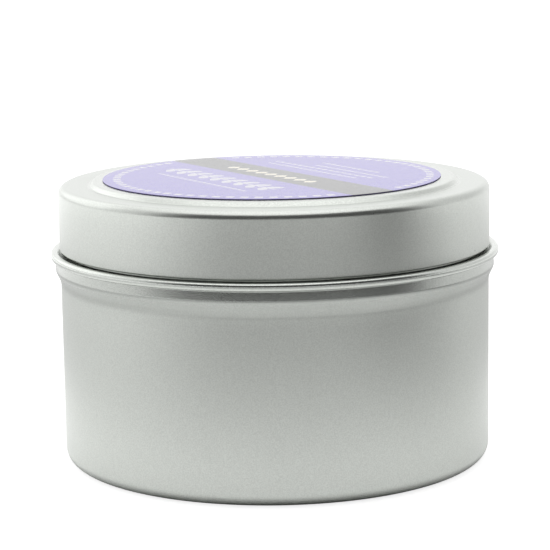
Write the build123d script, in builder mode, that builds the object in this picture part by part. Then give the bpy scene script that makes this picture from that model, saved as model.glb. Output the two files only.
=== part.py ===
"""Round seamless candle tin with a lift-off lid, filled with wax and one wick.

Millimetres, +Z up. The origin is the centre of the foot, on the surface the tin stands on.
Every piece is turned about +Z, so each one is a half section on the XZ plane, revolved.
"""

from build123d import *
import os

os.makedirs("parts", exist_ok=True)

# ---- driving dimensions ------------------------------------------------------------------
sheet = 0.25                # tinplate, drawn

body_radius = 39.9          # outside of the straight wall
corner_radius = 2.5         # rounded bottom corner
panel_radius = 34.8         # recessed panel under the base
panel_lift = 0.8            # how far the panel stands off the surface
panel_round = 0.6
foot_radius = 36.0          # inner edge of the foot ring
foot_round = 0.8

flare_start = 34.1          # height where the wall begins to lean out
flare_top = 36.2            # height of the ridge where the flare meets the collar
flare_step = 1.0            # how far the ridge stands out from the wall
collar_radius = 40.6        # the collar leans back in to here, under the bead
collar_top = 38.13
bead_radius = 41.7          # outermost point of the rolled bead
bead_foot = 38.18
bead_top = 39.65
bead_round = 0.65           # rounding of the bead's crest
bead_under_round = 0.75     # rounding of its underside
seat_radius = 39.95         # outer end of the seat behind the bead
seat_height = 39.3          # the seat under the lid's hem
seat_bank = 0.6             # run of the bank from the seat up to the bead's crest
neck_radius = 38.9          # outside of the neck, inside the lid
rim_top = 51.2              # the lid's ledge rests here
rim_round = 0.75            # outside radius of the neck's inward curl
rim_tuck = 0.5              # straight end of the curl, pointing down

lid_radius = 40.0           # outside of the lid's skirt
lid_top = 52.4              # raised panel of the lid
lid_ledge = 51.7            # flat ledge around the raised panel
lid_crease = 51.58          # bottom of the crease between the two
lid_panel_radius = 33.5
crease_radius = 34.6
crease_half_width = 0.3
shoulder_radius = 1.5
hem_bottom = 39.85          # underside of the rolled hem
hem_round = 0.35            # outside radius of the hem
hem_return = 0.7            # straight end of the hem, pointing up

label_diameter = 62.8
label_offset = -0.35        # the label is stuck on a little left of the axis
label_thick = 0.2
base_label_diameter = 57.0
base_label_thick = 0.12

wax_level = 33.0
wick_radius = 1.2
wick_above_wax = 6.0
sticker_diameter = 18.0
sticker_thick = 0.8
tab_diameter = 20.0
tab_neck_height = 5.0
tab_sheet = 0.25
tab_fillet = 0.6

floor_inside = panel_lift + sheet
tab_foot = floor_inside + sticker_thick

# ---- tin base: one drawn sheet from the centre of the floor up to the curled rim --------------
foot_ring = [
    (0, panel_lift),
    (panel_radius, panel_lift),
    (foot_radius, 0),
]
wall = [
    (body_radius, 0),
    (body_radius, flare_start),
    (body_radius + flare_step, flare_top),
    (collar_radius, collar_top),
]
bead = [
    (bead_radius, bead_foot),
    (bead_radius, bead_top),
    (seat_radius + seat_bank, bead_top),
    (seat_radius, seat_height),
]
neck = [
    (neck_radius, seat_height),
    (neck_radius, rim_top),
    (neck_radius - 2 * rim_round, rim_top),
    (neck_radius - 2 * rim_round, rim_top - rim_round - rim_tuck),
]
base_rounds = [
    panel_round, foot_round, corner_radius,
    3.5, 1.2, 0.15,                      # start and end of the flare, top of the collar
    bead_under_round, bead_round,
    0.3, 0.4, 0.35,                      # bank, seat, foot of the neck
    rim_round - 0.01, rim_round - 0.01,  # both corners of the curl
]

with BuildPart() as tin_base:
    with BuildSketch(Plane.XZ) as base_section:
        with BuildLine() as base_skin:
            base_path = FilletPolyline(*foot_ring, *wall, *bead, *neck, radius=base_rounds)
            offset(amount=sheet, side=Side.RIGHT, closed=True)
        make_face()
    revolve(axis=Axis.Z)
tin_base.part.label = "tin_base"
export_step(tin_base.part, "parts/tin_base.step")

# ---- tin lid: one drawn sheet from the centre of the panel down to the rolled hem --------------
lid_panel = [
    (0, lid_top),
    (lid_panel_radius, lid_top),
    (crease_radius - crease_half_width, lid_crease),
    (crease_radius + crease_half_width, lid_ledge),
]
skirt = [
    (lid_radius, lid_ledge),
    (lid_radius, hem_bottom),
    (lid_radius - 2 * hem_round, hem_bottom),
    (lid_radius - 2 * hem_round, hem_bottom + hem_round + hem_return),
]
lid_rounds = [
    0.7, 0.4, 0.6,                       # edge of the panel, crease, start of the ledge
    shoulder_radius,
    hem_round - 0.01, hem_round - 0.01,  # both corners of the hem
]

with BuildPart() as tin_lid:
    with BuildSketch(Plane.XZ) as lid_section:
        with BuildLine() as lid_skin:
            lid_path = FilletPolyline(*lid_panel, *skirt, radius=lid_rounds)
            offset(amount=sheet, side=Side.RIGHT, closed=True)
        make_face()
    revolve(axis=Axis.Z)
tin_lid.part.label = "tin_lid"
export_step(tin_lid.part, "parts/tin_lid.step")

# ---- labels: a printed disc on the lid, a blank one in the recess of the base ---------------
with BuildPart() as lid_label:
    with BuildSketch(Plane.XY.offset(lid_top)):
        with Locations((label_offset, 0)):
            Circle(label_diameter / 2)
    extrude(amount=label_thick)
lid_label.part.label = "lid_label"
export_step(lid_label.part, "parts/lid_label.step")

with BuildPart() as base_label:
    with BuildSketch(Plane.XY.offset(panel_lift)):
        Circle(base_label_diameter / 2)
    extrude(amount=-base_label_thick)
base_label.part.label = "base_label"
export_step(base_label.part, "parts/base_label.step")

# ---- wick assembly: foam dot, metal tab with its neck, and the wick standing in it ---------------
with BuildPart() as wick_sticker:
    with BuildSketch(Plane.XY.offset(floor_inside)):
        Circle(sticker_diameter / 2)
    extrude(amount=sticker_thick)
wick_sticker.part.label = "wick_sticker"
export_step(wick_sticker.part, "parts/wick_sticker.step")

with BuildPart() as wick_tab:
    with BuildSketch(Plane.XY.offset(tab_foot)):
        Circle(tab_diameter / 2)
    extrude(amount=tab_sheet)
    with BuildSketch(Plane.XY.offset(tab_foot)):
        Circle(wick_radius + tab_sheet)
    extrude(amount=tab_neck_height)
    neck_corner = wick_tab.edges().filter_by(GeomType.CIRCLE).group_by(Axis.Z)[1].sort_by(SortBy.LENGTH)[0]
    fillet(neck_corner, radius=tab_fillet)
    with BuildSketch(Plane.XY.offset(tab_foot)):
        Circle(wick_radius)
    extrude(amount=tab_neck_height, mode=Mode.SUBTRACT)
wick_tab.part.label = "wick_tab"
export_step(wick_tab.part, "parts/wick_tab.step")

with BuildPart() as wick:
    with BuildSketch(Plane.XY.offset(tab_foot)):
        Circle(wick_radius)
    extrude(amount=wax_level + wick_above_wax - tab_foot)
wick.part.label = "wick"
export_step(wick.part, "parts/wick.step")

# ---- wax: poured in, so it takes the shape of the tin and of the wick assembly ---------------
half_sheet = sheet / 2
pour = [
    (0, panel_lift + half_sheet),
    (panel_radius, panel_lift + half_sheet),
    (foot_radius, half_sheet),
    (body_radius - half_sheet, half_sheet),
    (body_radius - half_sheet, wax_level),
]
pour_rounds = [panel_round, foot_round - half_sheet, corner_radius - half_sheet]

with BuildPart() as wax:
    with BuildSketch(Plane.XZ) as wax_section:
        with BuildLine() as wax_outline:
            pour_path = FilletPolyline(*pour, radius=pour_rounds)
            Polyline(pour[-1], (0, wax_level), pour[0])
        make_face()
    revolve(axis=Axis.Z)
    for piece in (tin_base, wick_sticker, wick_tab, wick):
        add(piece.part, mode=Mode.SUBTRACT)
wax.part.label = "wax"
export_step(wax.part, "parts/wax.step")
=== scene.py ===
"""Candle tin: a drawn tin and lid with labels, wax and wick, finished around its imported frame.

Metres, +Z up, the tin stands on z = 0. Each piece is turned about +Z, in the place of its CAD node.
"""

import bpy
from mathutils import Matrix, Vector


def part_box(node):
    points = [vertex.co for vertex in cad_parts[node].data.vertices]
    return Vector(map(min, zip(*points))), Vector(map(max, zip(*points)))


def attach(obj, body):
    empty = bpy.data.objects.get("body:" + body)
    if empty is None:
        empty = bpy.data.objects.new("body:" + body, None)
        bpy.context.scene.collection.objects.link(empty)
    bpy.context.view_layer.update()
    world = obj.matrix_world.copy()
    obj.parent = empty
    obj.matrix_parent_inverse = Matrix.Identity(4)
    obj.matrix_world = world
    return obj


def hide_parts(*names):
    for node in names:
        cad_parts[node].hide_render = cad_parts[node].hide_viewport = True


bl_info = {
    "name": "Candle Tin",
    "version": (1, 0, 0),
    "blender": (4, 5, 0),
    "location": "View3D > Sidebar > Candle Tin",
    "description": "Makes the finished pieces of a filled candle tin around its CAD frame",
    "category": "Object",
}

from math import pi, radians, sin, tan

import bmesh
import bpy
from bpy.props import FloatProperty, FloatVectorProperty, IntProperty, PointerProperty
from mathutils import Matrix, Vector, noise

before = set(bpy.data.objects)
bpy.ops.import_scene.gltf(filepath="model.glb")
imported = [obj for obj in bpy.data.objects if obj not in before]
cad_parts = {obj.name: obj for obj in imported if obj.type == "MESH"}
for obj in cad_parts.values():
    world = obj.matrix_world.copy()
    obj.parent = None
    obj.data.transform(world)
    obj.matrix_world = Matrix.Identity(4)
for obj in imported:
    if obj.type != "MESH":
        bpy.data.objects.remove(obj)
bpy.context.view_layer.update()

MERGE_DISTANCE = 1e-7
FIT_TOLERANCE = 2e-5        # how far a finished piece may stand out of its CAD node's box

base_low, base_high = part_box("tin_base")
lid_low, lid_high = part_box("tin_lid")
label_low, label_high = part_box("lid_label")
blank_low, blank_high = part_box("base_label")
wax_low, wax_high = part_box("wax")
wick_low, wick_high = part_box("wick")
tab_low, tab_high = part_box("wick_tab")
dot_low, dot_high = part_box("wick_sticker")


# ---- settings ----------------------------------------------------------------------------------
def length(name, description, default):
    """A length in metres."""
    return FloatProperty(
        name=name, description=description, default=default, subtype="DISTANCE", unit="LENGTH", precision=5
    )


def angle(name, description, degrees):
    """An angle, given in degrees and kept in radians."""
    return FloatProperty(
        name=name, description=description, default=radians(degrees), subtype="ANGLE", unit="ROTATION"
    )


def factor(name, description, default):
    """A share from 0 to 1."""
    return FloatProperty(
        name=name, description=description, default=default, min=0.0, max=1.0, subtype="FACTOR"
    )


def colour(name, description, default):
    """A colour in linear light."""
    return FloatVectorProperty(
        name=name, description=description, default=default, size=3, min=0.0, max=1.0, subtype="COLOR"
    )


class TinSettings(bpy.types.PropertyGroup):
    """Sizes and finish of the drawn cup"""

    sheet: length("Sheet", "Thickness of the tinplate", 0.00025)
    steps: IntProperty(name="Steps", description="Facets around each turned piece", default=192, min=24)
    panel_radius: length("Floor panel", "Radius of the panel recessed under the floor", 0.0348)
    panel_lift: length("Panel lift", "Height of the recessed panel above the table", 0.0008)
    foot_radius: length("Foot ring", "Inner radius of the ring the tin stands on", 0.036)
    wall_radius: length("Wall", "Outside radius of the straight wall", 0.0399)
    corner_round: length("Bottom corner", "Rounding between the foot and the wall", 0.0025)
    flare_start: length("Flare start", "Height where the wall begins to lean out", 0.0341)
    flare_top: length("Flare top", "Height of the ridge where the flare meets the collar", 0.0362)
    flare_step: length("Flare step", "How far the ridge stands out from the wall", 0.0010)
    collar_radius: length("Collar", "Radius of the collar where it meets the bead", 0.0406)
    bead_radius: length("Bead", "Outermost radius of the rolled bead", base_high.x)
    bead_foot: length("Bead foot", "Lowest height of the bead's outer face", 0.03818)
    bead_top: length("Bead top", "Height of the bead's crest", 0.03965)
    bead_round: length("Bead round", "Rounding of the bead's crest", 0.00065)
    seat_radius: length("Seat", "Outer radius of the seat behind the bead", 0.03995)
    seat_height: length("Seat height", "Height of the seat under the lid's hem", 0.0393)
    neck_radius: length("Neck", "Outside radius of the neck inside the lid", 0.0389)
    rim_top: length("Rim", "Height of the curled rim", base_high.z)
    rim_round: length("Rim curl", "Outside radius of the rim's inward curl", 0.00074)
    metal: colour("Tin", "Reflectance of the tinplate", (0.607, 0.630, 0.597))
    roughness: factor("Satin", "Roughness of the satin wall", 0.34)
    pit_cells: FloatProperty(name="Pits", description="Cells per metre that may hold a pit", default=110.0)
    # Painted shade: how much darker the flare and collar are painted than the wall.
    flare_painted_shade: factor("Flare shade", "How much darker the flare and collar are than the wall", 0.24)
    polished: factor("Polish", "Roughness of the polished bends", 0.21)


class LidSettings(bpy.types.PropertyGroup):
    """Sizes of the drawn lid"""

    skirt_radius: length("Skirt", "Outside radius of the skirt", lid_high.x)
    top: length("Panel", "Height of the raised panel", lid_high.z)
    ledge: length("Ledge", "Height of the flat ledge around the panel", 0.0517)
    crease: length("Crease", "Height of the crease between panel and ledge", 0.05158)
    panel_radius: length("Panel radius", "Radius where the panel starts to fall", 0.0335)
    crease_radius: length("Crease radius", "Radius of the crease", 0.0346)
    shoulder_round: length("Shoulder", "Rounding between the ledge and the skirt", 0.0015)
    hem_bottom: length("Hem", "Underside of the rolled hem", lid_low.z)
    hem_round: length("Hem round", "Outside radius of the hem", 0.00034)
    hem_return: length("Hem return", "Straight end of the hem, inside the skirt", 0.0007)


class LabelSettings(bpy.types.PropertyGroup):
    """Sizes and inks of the two labels"""

    edge_round: length("Cut edge", "Rounding of a label's cut edge", 0.00005)
    band_turn: angle("Band direction", "Direction of the printed band, from +X", -57.6)
    band_middle: length("Band middle", "Offset of the band from the label's centre", 0.001)
    band_half: length("Band half width", "Half the width of the printed band", 0.00455)
    ring_radius: length("Ring", "Radius of the ring of printed ticks", 0.0291)
    ground: colour("Ground", "Ink of the label's ground", (0.135, 0.092, 0.47))
    band: colour("Band", "Ink of the band", (0.022, 0.022, 0.026))
    print_white: colour("White print", "Ink of the sprigs, rules and ticks", (0.55, 0.54, 0.62))
    print_cream: colour("Cream print", "Ink of the row inside the band", (0.74, 0.68, 0.53))
    cut_edge: colour("Cut edge", "Colour of the label's side", (0.13, 0.11, 0.25))
    paper: colour("Paper", "Colour of the blank label underneath", (0.80, 0.79, 0.76))
    paper_rule: colour("Paper rule", "Ink of the ring on the blank label", (0.30, 0.29, 0.33))


class FillSettings(bpy.types.PropertyGroup):
    """Sizes and colours of the wax, the wick and what holds it"""

    wax_gap: length("Wax gap", "Clearance between the wax and what it touches", 0.00002)
    wax_dip: length("Wax dip", "How far the wax sinks between wall and wick as it sets", 0.0005)
    meniscus: length("Meniscus", "How far in from the wall the wax climbs", 0.0022)
    wax: colour("Wax", "Colour of the wax", (0.90, 0.86, 0.75))
    strand_radius: length("Strand", "Radius of one strand of the braid", 0.00048)
    braid_width: length("Braid width", "How far a strand swings to each side", 0.00066)
    braid_depth: length("Braid depth", "How far a strand swings to front and back", 0.00034)
    braid_pitch: length("Braid pitch", "Length of one full swing of a strand", 0.0056)
    cotton: colour("Cotton", "Colour of the wick", (0.80, 0.76, 0.66))
    steel: colour("Tab", "Reflectance of the tab's tinned steel", (0.56, 0.57, 0.58))
    foam: colour("Foam", "Colour of the adhesive foam dot", (0.82, 0.83, 0.84))


class StageSettings(bpy.types.PropertyGroup):
    """Camera, floor and light"""

    eye_distance: length("Eye distance", "Camera's distance in front of the axis", 0.393)
    eye_height: length("Eye height", "Camera's height above the floor", 0.10357)
    pitch: angle("Pitch", "How far the camera looks down", 10.07)
    roll: angle("Roll", "How far the camera leans", -0.86)
    lens: FloatProperty(name="Lens", description="Focal length on a 36 mm sensor", default=139.25, min=1.0)
    floor_size: length("Floor", "Side of the square floor", 24.0)
    floor: colour("Floor", "Colour of the floor", (0.93, 0.93, 0.93))
    floor_glow: FloatProperty(name="Floor glow", description="Light from under the floor", default=0.80)
    dome: FloatProperty(name="Dome", description="Brightness of the white dome", default=1.02)
    dark: FloatProperty(name="Room", description="Brightness of the dark room in front", default=0.08)
    overhead: FloatProperty(
        name="Overhead", description="Power of the softbox above", default=0.7, unit="POWER"
    )
    overhead_size: length("Overhead size", "Diameter of the softbox above", 1.1)
    overhead_height: length("Overhead height", "Height of the softbox above the floor", 0.7)


class CandleTinSettings(bpy.types.PropertyGroup):
    """Everything that can be changed on the candle tin"""

    tin: PointerProperty(type=TinSettings)
    lid: PointerProperty(type=LidSettings)
    label: PointerProperty(type=LabelSettings)
    fill: PointerProperty(type=FillSettings)
    stage: PointerProperty(type=StageSettings)


# ---- mesh helpers --------------------------------------------------------------------------------
ARC_FACET = radians(6)      # turn of one facet along a rounded corner
LONG_FACET = 0.0025         # a straight stretch of a section is cut into pieces about this long
SHARP_TURN = radians(50)    # edges that turn more than this are shaded sharp


def draw_section(bm, corners):
    """Draw a wire on the XZ plane through (radius, height, rounding, polish) corners.

    Each rounded corner becomes an arc, and its points keep the corner's polish.
    """
    polish = bm.verts.layers.float.new("polish")
    points = [bm.verts.new((radius, 0.0, height)) for radius, height, _, _ in corners]
    for start, end in zip(points, points[1:]):
        bm.edges.new((start, end))
    places = [point.co.copy() for point in points]
    for index in range(1, len(corners) - 1):
        _, _, rounding, shine = corners[index]
        if not rounding:
            continue
        turn = (places[index] - places[index - 1]).angle(places[index + 1] - places[index])
        arc = bmesh.ops.bevel(
            bm, geom=[points[index]], affect="VERTICES", offset=rounding * tan(turn / 2),
            segments=max(2, round(turn / ARC_FACET)), profile=0.5, material=-1,
        )
        for vert in arc["verts"]:
            vert[polish] = shine
    for edge in bm.edges[:]:
        cuts = int(edge.calc_length() / LONG_FACET)
        if cuts:
            bmesh.ops.subdivide_edges(bm, edges=[edge], cuts=cuts)


def lathe(bm, steps):
    """Spin the whole wire about +Z into a closed skin, with its faces pointing outwards."""
    bmesh.ops.spin(
        bm, geom=bm.verts[:] + bm.edges[:], cent=(0, 0, 0), axis=(0, 0, 1),
        angle=2 * pi, steps=steps, use_merge=True,
    )
    bmesh.ops.remove_doubles(bm, verts=bm.verts, dist=MERGE_DISTANCE)
    bmesh.ops.recalc_face_normals(bm, faces=bm.faces)


def shade(bm):
    """Shade smooth, with sharp edges where the surface turns a hard corner."""
    for face in bm.faces:
        face.smooth = True
    for edge in bm.edges:
        edge.smooth = edge.calc_face_angle(0.0) < SHARP_TURN


def add_piece(bm, name, node, body, slot, *materials):
    """Make the finished piece that stands for a CAD node, and let it ride on the node's body."""
    shade(bm)
    mesh = bpy.data.meshes.new(name)
    bm.to_mesh(mesh)
    bm.free()
    for material in materials:
        mesh.materials.append(material)
    piece = bpy.data.objects.new(name, mesh)
    bpy.context.scene.collection.objects.link(piece)
    keep_in_box(piece, node)
    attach(piece, body)
    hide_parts(node)
    return piece


def keep_in_box(piece, node):
    """Stop if a piece has grown out of the box of the CAD node that it stands for."""
    low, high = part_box(node)
    for vert in piece.data.vertices:
        for axis in range(3):
            if not low[axis] - FIT_TOLERANCE <= vert.co[axis] <= high[axis] + FIT_TOLERANCE:
                raise RuntimeError(f"{piece.name} stands out of the box of {node} at {tuple(vert.co)}")


# ---- material helpers --------------------------------------------------------------------------
class Recipe:
    """A node tree under construction: each call adds one node and returns its output."""

    def __init__(self, owner):
        owner.use_nodes = True
        self.tree = owner.node_tree
        self.tree.nodes.clear()

    def node(self, kind, **settings):
        node = self.tree.nodes.new(kind)
        for name, value in settings.items():
            setattr(node, name, value)
        return node

    def plug(self, socket, value):
        """Link an output to a socket, or set the socket's own value."""
        if isinstance(value, bpy.types.NodeSocket):
            self.tree.links.new(value, socket)
        elif socket.type == "RGBA":
            socket.default_value = (*value, 1.0)
        else:
            socket.default_value = value

    def math(self, operation, *values):
        node = self.node("ShaderNodeMath", operation=operation)
        for socket, value in zip(node.inputs, values):
            self.plug(socket, value)
        return node.outputs[0]

    def add(self, a, b):
        return self.math("ADD", a, b)

    def minus(self, a, b):
        return self.math("SUBTRACT", a, b)

    def times(self, a, b):
        return self.math("MULTIPLY", a, b)

    def all_of(self, *masks):
        """1 where every mask is 1."""
        result = masks[0]
        for mask in masks[1:]:
            result = self.times(result, mask)
        return result

    def any_of(self, *masks):
        """1 where at least one mask is 1."""
        result = masks[0]
        for mask in masks[1:]:
            result = self.math("MAXIMUM", result, mask)
        return result

    def near(self, value, middle, half):
        """1 where a value lies within half of the middle."""
        return self.math("LESS_THAN", self.math("ABSOLUTE", self.minus(value, middle)), half)

    def ease(self, value, start, end, low=0.0, high=1.0):
        """Go smoothly from low to high as a value goes from start to end."""
        node = self.node("ShaderNodeMapRange", interpolation_type="SMOOTHSTEP")
        for socket, amount in zip(node.inputs, (value, start, end, low, high)):
            self.plug(socket, amount)
        return node.outputs["Result"]

    def sweep(self, value, start, end, low=0.0, high=1.0):
        """Like ease, for an angle whose start and end are given in degrees."""
        return self.ease(value, radians(start), radians(end), low, high)

    def place(self, turn=0.0, scale=(1.0, 1.0, 1.0)):
        """Object coordinates, turned about Z and then scaled."""
        mapping = self.node("ShaderNodeMapping")
        self.plug(mapping.inputs["Vector"], self.node("ShaderNodeTexCoord").outputs["Object"])
        mapping.inputs["Rotation"].default_value = (0.0, 0.0, turn)
        mapping.inputs["Scale"].default_value = scale
        return mapping.outputs["Vector"]

    def split(self, vector):
        node = self.node("ShaderNodeSeparateXYZ")
        self.plug(node.inputs[0], vector)
        return node.outputs

    def speckle(self, place, size, detail=2.0, roughness=0.5):
        """Soft noise from 0 to 1 whose features are about size across."""
        node = self.node("ShaderNodeTexNoise")
        self.plug(node.inputs["Vector"], place)
        node.inputs["Scale"].default_value = 1 / size
        node.inputs["Detail"].default_value = detail
        node.inputs["Roughness"].default_value = roughness
        return node.outputs["Fac"]

    def mix(self, share, a, b):
        """Mix two colours."""
        node = self.node("ShaderNodeMix", data_type="RGBA")
        self.plug(node.inputs[0], share)
        inputs = [socket for socket in node.inputs if socket.type == "RGBA"]
        for socket, value in zip(inputs, (a, b)):
            self.plug(socket, value)
        return next(socket for socket in node.outputs if socket.type == "RGBA")

    def bump(self, height, distance, strength=1.0, normal=None):
        node = self.node("ShaderNodeBump")
        node.inputs["Strength"].default_value = strength
        node.inputs["Distance"].default_value = distance
        self.plug(node.inputs["Height"], height)
        if normal:
            self.plug(node.inputs["Normal"], normal)
        return node.outputs["Normal"]

    def finish(self, **values):
        """Close the material with one principled surface."""
        surface = self.node("ShaderNodeBsdfPrincipled")
        for name, value in values.items():
            self.plug(surface.inputs[name.replace("_", " ")], value)
        output = self.node("ShaderNodeOutputMaterial")
        self.plug(output.inputs["Surface"], surface.outputs["BSDF"])


def new_material(name):
    """A material and the recipe that fills it."""
    material = bpy.data.materials.new(name)
    return material, Recipe(material)


# ---- materials ---------------------------------------------------------------------------------
BLACK = (0.0, 0.0, 0.0)


def satin_tinplate(tin, name="satin_tinplate"):
    """Satin tinplate: fine grain, faint drawing lines up the wall, polished bends."""
    material, recipe = new_material(name)
    place = recipe.place()
    grain = recipe.speckle(place, 0.00022, detail=2.0, roughness=0.65)
    lines = recipe.speckle(recipe.place(scale=(1.0, 1.0, 0.03)), 0.0006, detail=2.0)
    cloud = recipe.speckle(place, 0.012, detail=3.0)
    polish = recipe.node("ShaderNodeAttribute", attribute_name="polish").outputs["Fac"]

    # A few tiny pits, at the middles of some cells.
    cells = recipe.node("ShaderNodeTexVoronoi", feature="F1", distance="EUCLIDEAN")
    recipe.plug(cells.inputs["Vector"], place)
    cells.inputs["Scale"].default_value = tin.pit_cells
    middle = recipe.ease(cells.outputs["Distance"], 0.012, 0.03, 1.0, 0.0)
    chosen = recipe.math("GREATER_THAN", recipe.split(cells.outputs["Color"])[0], 0.55)
    pit = recipe.times(middle, chosen)

    satin = recipe.add(tin.roughness - 0.05, recipe.times(cloud, 0.06))
    satin = recipe.add(satin, recipe.times(grain, 0.04))
    roughness = recipe.ease(polish, 0.0, 1.0, satin, tin.polished)

    relief = recipe.add(grain, recipe.times(lines, 1.1))
    relief = recipe.minus(relief, recipe.times(pit, 3.0))
    normal = recipe.bump(relief, 0.00002, 0.4)

    # Painted shade: the flare and the collar are painted darker, between a fading lower edge and the foot of
    # the bead.
    height = recipe.split(place)[2]
    shaded = recipe.times(
        recipe.ease(height, tin.flare_start - 0.0014, tin.flare_start + 0.0002),
        recipe.ease(height, tin.bead_foot - 0.0002, tin.bead_foot, 1.0, 0.0),
    )
    base = recipe.mix(recipe.ease(grain, 0.35, 0.65), tin.metal, [share * 0.87 for share in tin.metal])
    # Painted shade on the flare and collar.
    base = recipe.mix(recipe.times(shaded, tin.flare_painted_shade), base, BLACK)
    # Painted shade: each pit is also painted dark, besides its dent.
    base = recipe.mix(pit, base, (0.12, 0.12, 0.12))
    recipe.finish(Base_Color=base, Metallic=1.0, Roughness=roughness, Normal=normal)
    return material


def label_print(label):
    """Glossy printed face: violet ground, dark band, and generic sprigs, lozenges, rules and ticks."""
    material, recipe = new_material("label_print")
    u, v, _ = recipe.split(recipe.place(turn=-label.band_turn))
    band = recipe.near(v, label.band_middle, label.band_half)

    def row(middle, start, end):
        """The stretch of a row and its own height across the band."""
        across = recipe.minus(v, middle)
        inside = recipe.near(u, (start + end) / 2, (end - start) / 2)
        return across, inside

    def repeat(pitch):
        """Distance along the row from the middle of each repeat."""
        return recipe.minus(recipe.math("FLOORED_MODULO", u, pitch), pitch / 2)

    # Sprigs: a stem with pairs of pointed leaves.
    across, inside = row(-0.0101, -0.0206, 0.0163)
    lift = recipe.math("ABSOLUTE", across)
    lean = recipe.minus(repeat(0.0041), recipe.times(recipe.minus(lift, 0.0014), 0.55))
    width = recipe.math("POWER", recipe.times(recipe.minus(lift, 0.0014), 1 / 0.0014), 2.0)
    width = recipe.times(recipe.minus(1.0, width), 0.00125)
    leaves = recipe.math("LESS_THAN", recipe.math("ABSOLUTE", lean), width)
    stem = recipe.math("LESS_THAN", lift, 0.0003)
    sprigs = recipe.all_of(inside, recipe.any_of(leaves, stem))

    # Lozenges inside the band.
    across, inside = row(0.0005, -0.0160, 0.0126)
    diamond = recipe.add(recipe.math("ABSOLUTE", repeat(0.0033)), recipe.math("ABSOLUTE", across))
    lozenges = recipe.all_of(inside, recipe.math("LESS_THAN", diamond, 0.0015))

    # Dashed rules behind the band and one in front of the sprigs.
    rules = None
    for middle, start, end, pitch in (
        (0.0098, -0.017, 0.013, 0.0016),
        (0.0122, -0.018, 0.015, 0.0021),
        (0.0147, -0.008, 0.016, 0.0013),
        (0.0177, -0.010, 0.009, 0.0018),
        (-0.0154, -0.016, 0.015, 0.0017),
    ):
        across, inside = row(middle, start, end)
        dash = recipe.near(repeat(pitch), 0.0, pitch * 0.33)
        rule = recipe.all_of(inside, dash, recipe.near(across, 0.0, 0.0004))
        rules = rule if rules is None else recipe.any_of(rules, rule)

    # Ticks around the rim, left out where the band crosses them.
    radial = recipe.math("SQRT", recipe.add(recipe.times(u, u), recipe.times(v, v)))
    around = recipe.math("ARCTAN2", v, u)
    tick_step = 2 * pi / 72
    tick = recipe.minus(recipe.math("FLOORED_MODULO", around, tick_step), tick_step / 2)
    ticks = recipe.all_of(
        recipe.near(radial, label.ring_radius, 0.0007),
        recipe.near(tick, 0.0, tick_step * 0.28),
        recipe.minus(1.0, recipe.near(v, label.band_middle, label.band_half + 0.0015)),
    )

    mottle = recipe.speckle(recipe.place(), 0.0004, detail=2.0)
    ground = recipe.mix(recipe.ease(mottle, 0.3, 0.7), label.ground, [share * 1.12 for share in label.ground])
    ink = recipe.mix(band, ground, label.band)
    ink = recipe.mix(recipe.any_of(sprigs, rules, ticks), ink, label.print_white)
    ink = recipe.mix(lozenges, ink, label.print_cream)
    ripple = recipe.speckle(recipe.place(), 0.006, detail=1.0)
    normal = recipe.bump(recipe.add(ripple, recipe.times(mottle, 0.05)), 0.00002, 0.5)
    recipe.finish(
        Base_Color=ink, Roughness=recipe.ease(mottle, 0.2, 0.8, 0.16, 0.22), Normal=normal,
        Coat_Weight=0.15, Coat_Roughness=0.08,
    )
    return material


def cut_paper(name, shade_colour):
    """Fibrous side of a label."""
    material, recipe = new_material(name)
    fibre = recipe.speckle(recipe.place(scale=(1.0, 1.0, 4.0)), 0.0003)
    base = recipe.mix(fibre, shade_colour, [share * 0.7 for share in shade_colour])
    recipe.finish(Base_Color=base, Roughness=0.75, Normal=recipe.bump(fibre, 0.00002, 0.5))
    return material


def blank_paper(label, radius):
    """Matt white paper with one printed ring near its rim."""
    material, recipe = new_material("blank_paper")
    x, y, _ = recipe.split(recipe.place())
    radial = recipe.math("SQRT", recipe.add(recipe.times(x, x), recipe.times(y, y)))
    ring = recipe.near(radial, radius - 0.003, 0.00025)
    fibre = recipe.speckle(recipe.place(), 0.0005, detail=4.0, roughness=0.7)
    paper = recipe.mix(fibre, label.paper, [share * 0.93 for share in label.paper])
    recipe.finish(
        Base_Color=recipe.mix(ring, paper, label.paper_rule),
        Roughness=recipe.ease(fibre, 0.2, 0.8, 0.55, 0.7),
        Normal=recipe.bump(fibre, 0.00003, 0.4),
    )
    return material


def soy_wax(fill):
    """Creamy wax with faint frosting and a soft translucency."""
    material, recipe = new_material("soy_wax")
    frost = recipe.speckle(recipe.place(), 0.007, detail=5.0, roughness=0.65)
    fine = recipe.speckle(recipe.place(), 0.0006, detail=3.0)
    frosted = recipe.mix(recipe.ease(frost, 0.45, 0.7), fill.wax, (0.94, 0.92, 0.86))
    recipe.finish(
        Base_Color=frosted,
        Roughness=recipe.ease(frost, 0.35, 0.7, 0.30, 0.48),
        Normal=recipe.bump(recipe.add(frost, recipe.times(fine, 0.15)), 0.0001, 0.5),
        Subsurface_Weight=0.25,
        Subsurface_Radius=(0.004, 0.0028, 0.0016),
        Subsurface_Scale=1.0,
        Coat_Weight=0.1,
        Coat_Roughness=0.25,
    )
    return material


def cotton_yarn(fill):
    """Waxed cotton with fine fibres along the yarn."""
    material, recipe = new_material("cotton_yarn")
    fibre = recipe.speckle(recipe.place(scale=(1.0, 1.0, 0.35)), 0.00012, detail=3.0, roughness=0.7)
    base = recipe.mix(recipe.ease(fibre, 0.3, 0.7), [share * 0.8 for share in fill.cotton], fill.cotton)
    recipe.finish(
        Base_Color=base, Roughness=0.8, Normal=recipe.bump(fibre, 0.00006, 0.8),
        Sheen_Weight=0.25, Sheen_Roughness=0.5,
    )
    return material


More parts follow.
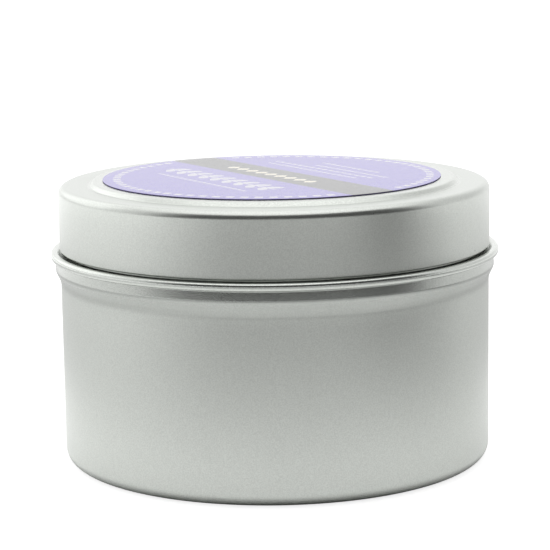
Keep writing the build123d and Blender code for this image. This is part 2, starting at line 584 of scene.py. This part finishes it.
def tab_steel(fill):
    """Stamped tinned steel."""
    material, recipe = new_material("tab_steel")
    brushed = recipe.speckle(recipe.place(scale=(1.0, 0.08, 1.0)), 0.0004, detail=3.0)
    recipe.finish(
        Base_Color=recipe.mix(brushed, fill.steel, [share * 0.85 for share in fill.steel]),
        Metallic=1.0,
        Roughness=recipe.ease(brushed, 0.2, 0.8, 0.22, 0.36),
        Normal=recipe.bump(brushed, 0.00002, 0.3),
    )
    return material


def foam_sheet(fill):
    """Closed-cell foam with small pores."""
    material, recipe = new_material("foam_sheet")
    pores = recipe.node("ShaderNodeTexVoronoi", feature="F1")
    recipe.plug(pores.inputs["Vector"], recipe.place())
    pores.inputs["Scale"].default_value = 3000.0
    pore = recipe.ease(pores.outputs["Distance"], 0.1, 0.6)
    # Painted shade: the middle of each pore is painted darker.
    recipe.finish(
        Base_Color=recipe.mix(pore, [share * 0.8 for share in fill.foam], fill.foam),
        Roughness=0.85,
        Normal=recipe.bump(pore, 0.00005, 0.6),
    )
    return material


# ---- pieces ------------------------------------------------------------------------------------
def tin_corners(tin):
    """Outer skin of the cup, from the middle of its floor to the end of the rim's curl."""
    return [
        (0.0, tin.panel_lift, 0.0, 0.0),
        (tin.panel_radius, tin.panel_lift, 0.0006, 0.6),
        (tin.foot_radius, 0.0, 0.0008, 0.6),
        (tin.wall_radius, 0.0, tin.corner_round, 0.4),
        (tin.wall_radius, tin.flare_start, 0.0035, 0.0),
        (tin.wall_radius + tin.flare_step, tin.flare_top, 0.0012, 0.7),
        (tin.collar_radius, tin.bead_foot - 0.00005, 0.00015, 0.9),
        (tin.bead_radius, tin.bead_foot, 0.00075, 0.9),
        (tin.bead_radius, tin.bead_top, tin.bead_round, 1.0),
        (tin.seat_radius + 0.0006, tin.bead_top, 0.0003, 1.0),
        (tin.seat_radius, tin.seat_height, 0.0004, 0.6),
        (tin.neck_radius, tin.seat_height, 0.00035, 0.4),
        (tin.neck_radius, tin.rim_top, tin.rim_round, 0.9),
        (tin.neck_radius - 0.0015, tin.rim_top, tin.rim_round, 0.9),
        (tin.neck_radius - 0.0015, tin.rim_top - 0.00125, 0.0, 0.0),
    ]


def lid_corners(lid):
    """Outer skin of the lid, from the middle of its panel to the end of the hem."""
    hem_inside = lid.skirt_radius - 2 * lid.hem_round - 0.00002
    return [
        (0.0, lid.top, 0.0, 0.0),
        (lid.panel_radius, lid.top, 0.0007, 0.6),
        (lid.crease_radius - 0.0003, lid.crease, 0.0004, 0.6),
        (lid.crease_radius + 0.0003, lid.ledge, 0.0006, 0.4),
        (lid.skirt_radius, lid.ledge, lid.shoulder_round, 0.45),
        (lid.skirt_radius, lid.hem_bottom, lid.hem_round, 0.0),
        (hem_inside, lid.hem_bottom, lid.hem_round, 0.0),
        (hem_inside, lid.hem_bottom + lid.hem_round + lid.hem_return, 0.0, 0.0),
    ]


def draw_sheet(corners, tin):
    """Turn a section into a skin and give it the thickness of the sheet, inwards."""
    bm = bmesh.new()
    draw_section(bm, corners)
    lathe(bm, tin.steps)
    bmesh.ops.solidify(bm, geom=bm.faces[:], thickness=tin.sheet)
    return bm


class CANDLETIN_OT_base(bpy.types.Operator):
    """Make the drawn cup with its foot ring, bead, neck and curled rim"""

    bl_idname = "candle_tin.base"
    bl_label = "Tin base"

    def execute(self, context):
        tin = context.scene.candle_tin.tin
        bm = draw_sheet(tin_corners(tin), tin)
        add_piece(bm, "drawn_cup", "tin_base", "base", "tin_satin", satin_tinplate(tin))
        return {"FINISHED"}


class CANDLETIN_OT_lid(bpy.types.Operator):
    """Make the drawn lid with its raised panel, crease, shoulder and hem"""

    bl_idname = "candle_tin.lid"
    bl_label = "Tin lid"

    def execute(self, context):
        settings = context.scene.candle_tin
        bm = draw_sheet(lid_corners(settings.lid), settings.tin)
        material = satin_tinplate(settings.tin, "satin_lid")
        add_piece(bm, "drawn_lid", "tin_lid", "lid", "tin_satin", material)
        return {"FINISHED"}


def paper_disc(low, high, face_up, label, steps):
    """A round label whose printed face gets material 0 and whose cut edge and back get material 1."""
    bm = bmesh.new()
    radius = (high.x - low.x) / 2
    face, back = (high.z, low.z) if face_up else (low.z, high.z)
    draw_section(bm, [
        (0.0, face, 0.0, 0.0),
        (radius, face, label.edge_round, 0.0),
        (radius, back, label.edge_round, 0.0),
        (0.0, back, 0.0, 0.0),
    ])
    lathe(bm, steps)
    bmesh.ops.translate(bm, verts=bm.verts, vec=((low.x + high.x) / 2, 0.0, 0.0))
    for piece_face in bm.faces:
        on_face = abs(piece_face.calc_center_median().z - face) < label.edge_round / 2
        piece_face.material_index = 0 if on_face else 1
    return bm


class CANDLETIN_OT_lid_label(bpy.types.Operator):
    """Make the round printed label on the lid's raised panel"""

    bl_idname = "candle_tin.lid_label"
    bl_label = "Lid label"

    def execute(self, context):
        settings = context.scene.candle_tin
        label = settings.label
        bm = paper_disc(label_low, label_high, True, label, settings.tin.steps)
        face = label_print(label)
        side = cut_paper("label_cut_edge", label.cut_edge)
        add_piece(bm, "printed_disc", "lid_label", "lid", "printed_label", face, side)
        return {"FINISHED"}


class CANDLETIN_OT_base_label(bpy.types.Operator):
    """Make the blank label in the recess under the tin"""

    bl_idname = "candle_tin.base_label"
    bl_label = "Base label"

    def execute(self, context):
        settings = context.scene.candle_tin
        label = settings.label
        bm = paper_disc(blank_low, blank_high, False, label, settings.tin.steps)
        face = blank_paper(label, blank_high.x)
        side = cut_paper("paper_cut_edge", label.paper)
        add_piece(bm, "blank_disc", "base_label", "base", "plain_label", face, side)
        return {"FINISHED"}


class CANDLETIN_OT_wax(bpy.types.Operator):
    """Pour the wax around the wick, with a meniscus at the wall and at the wick"""

    bl_idname = "candle_tin.wax"
    bl_label = "Wax"

    def execute(self, context):
        settings = context.scene.candle_tin
        fill = settings.fill
        tin = settings.tin
        gap = fill.wax_gap
        wall = tin.wall_radius - tin.sheet - gap
        floor = tin.panel_lift + tin.sheet + gap
        surface = wax_high.z - fill.wax_dip
        wick = wick_high.x + gap
        neck = wick_high.x + tin.sheet + gap
        bm = bmesh.new()
        draw_section(bm, [
            (wick, tab_high.z + gap, 0.0, 0.0),
            (wick, wax_high.z, 0.0, 0.0),
            (wick + fill.meniscus, surface, 0.002, 0.0),
            (wall - fill.meniscus, surface, 0.002, 0.0),
            (wall, wax_high.z, 0.0, 0.0),
            (wall, tin.sheet + gap, tin.corner_round - tin.sheet, 0.0),
            (tin.foot_radius, tin.sheet + gap, 0.0005, 0.0),
            (tin.panel_radius, floor, 0.0008, 0.0),
            (dot_high.x + gap, floor, 0.0, 0.0),
            (dot_high.x + gap, dot_high.z, 0.0, 0.0),
            (tab_high.x + gap, tab_low.z - gap, 0.0, 0.0),
            (tab_high.x + gap, tab_low.z + tin.sheet + gap, 0.0, 0.0),
            (neck, tab_low.z + tin.sheet + gap, 0.0006, 0.0),
            (neck, tab_high.z + gap, 0.0, 0.0),
        ])
        ends = [vert for vert in bm.verts if len(vert.link_edges) == 1]
        bm.edges.new(ends)
        lathe(bm, settings.tin.steps)
        self.settle(bm, surface, wall)
        add_piece(bm, "poured_wax", "wax", "base", "soy_wax", soy_wax(fill))
        return {"FINISHED"}

    def settle(self, bm, surface, wall):
        """Let the set surface roll gently, as poured wax does."""
        roll = 0.00018
        swell = 0.013
        for vert in bm.verts:
            reach = Vector((vert.co.x, vert.co.y)).length
            if abs(vert.co.z - surface) < 0.00015 and reach < wall - 0.001:
                vert.co.z += roll * noise.noise(vert.co / swell)


def braid(fill, low, high):
    """Three strands plaited about the Z axis, as one mesh."""
    curve = bpy.data.curves.new("braid", "CURVE")
    curve.dimensions = "3D"
    curve.bevel_depth = fill.strand_radius
    curve.bevel_resolution = 3
    curve.use_fill_caps = True
    curve.resolution_u = 2
    points_per_swing = 16
    bottom = low.z - 2 * fill.strand_radius
    top = high.z + 2 * fill.strand_radius
    count = round((top - bottom) / fill.braid_pitch * points_per_swing)
    for strand in range(3):
        spline = curve.splines.new("NURBS")
        spline.points.add(count)
        for index, point in enumerate(spline.points):
            height = bottom + (top - bottom) * index / count
            swing = 2 * pi * (height / fill.braid_pitch + strand / 3)
            point.co = (fill.braid_width * sin(swing), fill.braid_depth * sin(2 * swing), height, 1.0)
        spline.order_u = 3
        spline.use_endpoint_u = True
    holder = bpy.data.objects.new("braid", curve)
    mesh = bpy.data.meshes.new_from_object(holder)
    bm = bmesh.new()
    bm.from_mesh(mesh)
    bpy.data.objects.remove(holder)
    bpy.data.curves.remove(curve)
    bpy.data.meshes.remove(mesh)
    bmesh.ops.remove_doubles(bm, verts=bm.verts, dist=MERGE_DISTANCE)
    bmesh.ops.recalc_face_normals(bm, faces=bm.faces)
    for height, outward in ((low.z, -1), (high.z, 1)):
        bmesh.ops.bisect_plane(
            bm, geom=bm.verts[:] + bm.edges[:] + bm.faces[:], dist=MERGE_DISTANCE,
            plane_co=(0, 0, height), plane_no=(0, 0, outward), clear_outer=True,
        )
        bmesh.ops.holes_fill(bm, edges=[edge for edge in bm.edges if edge.is_boundary])
    return bm


class CANDLETIN_OT_wick(bpy.types.Operator):
    """Plait the cotton wick that stands in the tab"""

    bl_idname = "candle_tin.wick"
    bl_label = "Wick"

    def execute(self, context):
        fill = context.scene.candle_tin.fill
        bm = braid(fill, wick_low, wick_high)
        add_piece(bm, "braided_wick", "wick", "base", "cotton_wick", cotton_yarn(fill))
        return {"FINISHED"}


class CANDLETIN_OT_wick_holder(bpy.types.Operator):
    """Make the steel tab that holds the wick upright, and the foam dot that sticks it down"""

    bl_idname = "candle_tin.wick_holder"
    bl_label = "Wick tab and dot"

    def execute(self, context):
        settings = context.scene.candle_tin
        fill = settings.fill
        sheet = settings.tin.sheet
        steps = settings.tin.steps // 2
        plate_ring = 0.007
        bm = bmesh.new()
        neck = wick_high.x + sheet
        plate = tab_low.z + sheet
        draw_section(bm, [
            (tab_high.x, plate, 0.0, 0.2),
            (plate_ring, plate, 0.0, 0.6),
            (neck, plate, 0.0006, 0.8),
            (neck, tab_high.z, 0.0, 0.2),
        ])
        lathe(bm, steps)
        bmesh.ops.solidify(bm, geom=bm.faces[:], thickness=sheet)
        add_piece(bm, "crimped_tab", "wick_tab", "base", "tab_steel", tab_steel(fill))

        bm = bmesh.new()
        edge = 0.0002
        draw_section(bm, [
            (0.0, dot_low.z, 0.0, 0.0),
            (dot_high.x, dot_low.z, edge, 0.0),
            (dot_high.x, dot_high.z, edge, 0.0),
            (0.0, dot_high.z, 0.0, 0.0),
        ])
        lathe(bm, steps)
        add_piece(bm, "adhesive_dot", "wick_sticker", "base", "foam_dot", foam_sheet(fill))
        return {"FINISHED"}


# ---- stage -------------------------------------------------------------------------------------
class CANDLETIN_OT_stage(bpy.types.Operator):
    """Set up the pale floor, the soft studio light and the camera"""

    bl_idname = "candle_tin.stage"
    bl_label = "Stage"

    def execute(self, context):
        stage = context.scene.candle_tin.stage
        self.lay_floor(context, stage)
        self.light_dome(context, stage)
        self.hang_softbox(context, stage)
        self.aim_camera(context, stage)
        context.scene.view_settings.view_transform = "Standard"
        return {"FINISHED"}

    def lay_floor(self, context, stage):
        bm = bmesh.new()
        bmesh.ops.create_grid(bm, x_segments=1, y_segments=1, size=stage.floor_size / 2)
        mesh = bpy.data.meshes.new("studio_floor")
        bm.to_mesh(mesh)
        bm.free()
        mesh.materials.append(self.pale_floor(stage))
        floor = bpy.data.objects.new("studio_floor", mesh)
        context.scene.collection.objects.link(floor)

    def pale_floor(self, stage):
        """Pale paper that glows.

        Seen directly, it is evenly bright. What the tin reflects of it is patterned with painted shade and
        painted glow:
        darker in front, and brighter around the foot, at both sides and behind.
        """
        material, recipe = new_material("pale_floor")
        x, y, _ = recipe.split(recipe.place())
        side = recipe.math("ARCTAN2", x, recipe.times(y, -1.0))
        reach = recipe.math("SQRT", recipe.add(recipe.times(x, x), recipe.times(y, y)))

        # What every ray but the camera's meets: paper with painted shade, and a painted glow.
        reflected = recipe.node("ShaderNodeAddShader")
        paper = recipe.node("ShaderNodeBsdfDiffuse")
        shade = self.floor_painted_shade(recipe, side, reach)
        recipe.plug(paper.inputs["Color"], recipe.mix(shade, stage.floor, (0.02, 0.02, 0.02)))
        painted_glow = recipe.node("ShaderNodeEmission")
        recipe.plug(painted_glow.inputs["Strength"], self.floor_painted_glow(recipe, side, reach))
        recipe.plug(reflected.inputs[0], paper.outputs[0])
        recipe.plug(reflected.inputs[1], painted_glow.outputs[0])

        direct = recipe.node("ShaderNodeAddShader")
        seen = recipe.node("ShaderNodeBsdfDiffuse")
        recipe.plug(seen.inputs["Color"], [share * 0.5 for share in stage.floor])
        glow = recipe.node("ShaderNodeEmission")
        glow.inputs["Strength"].default_value = stage.floor_glow
        recipe.plug(direct.inputs[0], seen.outputs[0])
        recipe.plug(direct.inputs[1], glow.outputs[0])

        choice = recipe.node("ShaderNodeMixShader")
        recipe.plug(choice.inputs[0], recipe.node("ShaderNodeLightPath").outputs["Is Camera Ray"])
        recipe.plug(choice.inputs[1], reflected.outputs[0])
        recipe.plug(choice.inputs[2], direct.outputs[0])
        output = recipe.node("ShaderNodeOutputMaterial")
        recipe.plug(output.inputs["Surface"], choice.outputs[0])
        return material

    def floor_painted_shade(self, recipe, side, reach):
        """Painted shade: how dark the floor is, by its angle from the front and its distance from the tin's
        axis.
        """
        front = recipe.times(recipe.sweep(side, -90, -15), recipe.sweep(side, 80, 108, 1.0, 0.0))
        near = recipe.times(front, recipe.ease(reach, 0.09, 0.22, 0.0, 0.60))
        beyond = recipe.times(front, recipe.ease(reach, 0.25, 0.34, 0.0, -0.50))
        off_corner = recipe.math("ABSOLUTE", recipe.minus(side, radians(58)))
        corner = recipe.times(
            recipe.sweep(off_corner, 0, 30, 1.0, 0.0), recipe.ease(reach, 0.23, 0.30, 0.0, 0.45)
        )
        around = recipe.ease(reach, 0.07, 0.18, 0.0, 0.10)
        right = recipe.sweep(side, 35, 85, 0.0, 0.13)
        return recipe.add(recipe.add(near, beyond), recipe.add(corner, recipe.add(around, right)))

    def floor_painted_glow(self, recipe, side, reach):
        """Painted glow of the floor: a ring around the foot, and further out all around, least in front."""
        foot = recipe.times(
            recipe.ease(reach, 0.0395, 0.042), recipe.ease(reach, 0.045, 0.13, 0.36, 0.05)
        )
        left = recipe.sweep(side, -64, -15, 0.62, 0.15)
        right = recipe.sweep(side, 64, 84, 0.0, 0.30)
        sides = recipe.times(recipe.ease(reach, 0.24, 0.32), recipe.add(left, right))
        return recipe.add(foot, sides)

    def light_dome(self, context, stage):
        """A white dome, brighter above, behind and at the sides, whose front is open to a dark room."""
        world = bpy.data.worlds.new("studio_dome")
        recipe = Recipe(world)
        x, y, z = recipe.split(recipe.node("ShaderNodeTexCoord").outputs["Generated"])
        side = recipe.math("ARCTAN2", x, recipe.times(y, -1.0))
        rise = recipe.math("ARCSINE", z)
        turn = recipe.math("ABSOLUTE", side)
        opening = recipe.all_of(
            recipe.sweep(side, -92, -40),
            recipe.sweep(side, 66, 108, 1.0, 0.0),
            recipe.sweep(rise, -3, 2),
            recipe.sweep(rise, 48, 62, 1.0, 0.0),
        )
        side_boxes = recipe.all_of(
            recipe.sweep(turn, 95, 112),
            recipe.sweep(turn, 148, 165, 1.0, 0.0),
            recipe.sweep(rise, 4, 12),
            recipe.sweep(rise, 38, 50, 1.0, 0.0),
            recipe.sweep(side, -90, 90, 0.6, -0.14),
        )
        behind = recipe.sweep(turn, 130, 165, 0.0, 0.20)
        above = recipe.sweep(rise, 50, 72, 0.0, 0.30)
        lamps = recipe.add(side_boxes, recipe.any_of(behind, above))
        strength = recipe.ease(opening, 0.0, 1.0, recipe.add(stage.dome, lamps), stage.dark)
        background = recipe.node("ShaderNodeBackground")
        recipe.plug(background.inputs["Strength"], strength)
        background.inputs["Color"].default_value = (1.0, 1.0, 1.0, 1.0)
        output = recipe.node("ShaderNodeOutputWorld")
        recipe.plug(output.inputs["Surface"], background.outputs[0])
        context.scene.world = world

    def hang_softbox(self, context, stage):
        light = bpy.data.lights.new("overhead_softbox", "AREA")
        light.shape = "DISK"
        light.size = stage.overhead_size
        light.energy = stage.overhead
        softbox = bpy.data.objects.new("overhead_softbox", light)
        softbox.location = (0.0, 0.05, stage.overhead_height)
        context.scene.collection.objects.link(softbox)

    def aim_camera(self, context, stage):
        lens = bpy.data.cameras.new("studio_camera")
        lens.sensor_width = 36.0
        lens.lens = stage.lens
        lens.clip_start = 0.01
        camera = bpy.data.objects.new("studio_camera", lens)
        camera.matrix_world = (
            Matrix.Translation((0.0, -stage.eye_distance, stage.eye_height))
            @ Matrix.Rotation(pi / 2 - stage.pitch, 4, "X")
            @ Matrix.Rotation(stage.roll, 4, "Z")
        )
        context.scene.collection.objects.link(camera)
        context.scene.camera = camera


# ---- panel and registration ----------------------------------------------------------------------
OPERATORS = (
    CANDLETIN_OT_base,
    CANDLETIN_OT_lid,
    CANDLETIN_OT_lid_label,
    CANDLETIN_OT_base_label,
    CANDLETIN_OT_wax,
    CANDLETIN_OT_wick,
    CANDLETIN_OT_wick_holder,
    CANDLETIN_OT_stage,
)


class CANDLETIN_PT_panel(bpy.types.Panel):
    """Lists the pieces of the candle tin and their settings"""

    bl_idname = "CANDLETIN_PT_panel"
    bl_label = "Candle Tin"
    bl_space_type = "VIEW_3D"
    bl_region_type = "UI"
    bl_category = "Candle Tin"

    def draw(self, context):
        for operator in OPERATORS:
            self.layout.operator(operator.bl_idname)
        settings = context.scene.candle_tin
        for group in (settings.tin, settings.lid, settings.label, settings.fill, settings.stage):
            box = self.layout.box()
            for name in group.__annotations__:
                box.prop(group, name)


CLASSES = (
    TinSettings,
    LidSettings,
    LabelSettings,
    FillSettings,
    StageSettings,
    CandleTinSettings,
    *OPERATORS,
    CANDLETIN_PT_panel,
)


def register():
    for cls in CLASSES:
        bpy.utils.register_class(cls)
    bpy.types.Scene.candle_tin = PointerProperty(type=CandleTinSettings)


def unregister():
    del bpy.types.Scene.candle_tin
    for cls in reversed(CLASSES):
        bpy.utils.unregister_class(cls)


def main():
    register()
    bpy.ops.candle_tin.stage()
    bpy.ops.candle_tin.base()
    bpy.ops.candle_tin.lid()
    bpy.ops.candle_tin.lid_label()
    bpy.ops.candle_tin.base_label()
    bpy.ops.candle_tin.wax()
    bpy.ops.candle_tin.wick()
    bpy.ops.candle_tin.wick_holder()


if __name__ == "__main__":
    main()
